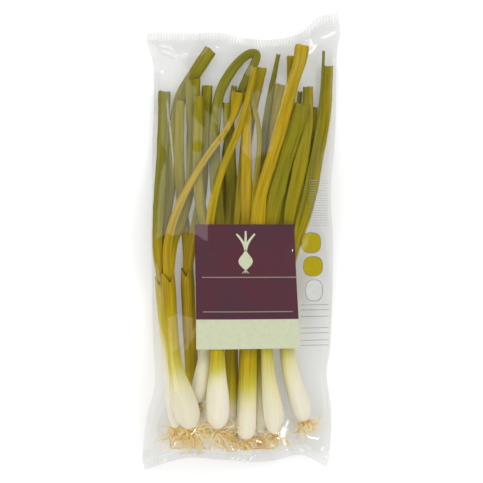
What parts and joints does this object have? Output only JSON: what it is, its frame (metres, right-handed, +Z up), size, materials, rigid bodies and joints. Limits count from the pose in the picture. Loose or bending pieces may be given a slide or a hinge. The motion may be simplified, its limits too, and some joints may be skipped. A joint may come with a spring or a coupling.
{
  "type": "bagged spring onion bunch",
  "caption": "Bunch of trimmed spring onions with white bulbs, root hairs and cut green leaves, lying in a clear welded film bag.",
  "frame": {"origin": "middle of the pack's outline, on the table that its underside rests on", "axes": "+X across the bag to the right, +Y along the onions towards the leaf tips, +Z up through the bag"},
  "size_m": [0.138, 0.32, 0.0356],
  "materials": {
    "onion": "smooth waxy leaf, white at the bulb",
    "roots": "dry pale root hairs",
    "film": "clear glossy film"
  },
  "bodies": {
    "root": {"onion_01": "onion", "roots_01": "roots", "onion_02": "onion", "roots_02": "roots", "onion_03": "onion", "roots_03": "roots", "onion_04": "onion", "roots_04": "roots", "onion_05": "onion", "roots_05": "roots", "onion_06": "onion", "roots_06": "roots", "onion_07": "onion", "roots_07": "roots", "onion_08": "onion", "roots_08": "roots", "onion_09": "onion", "roots_09": "roots", "onion_10": "onion", "roots_10": "roots", "bag_film": "film"}
  },
  "joints": []
}
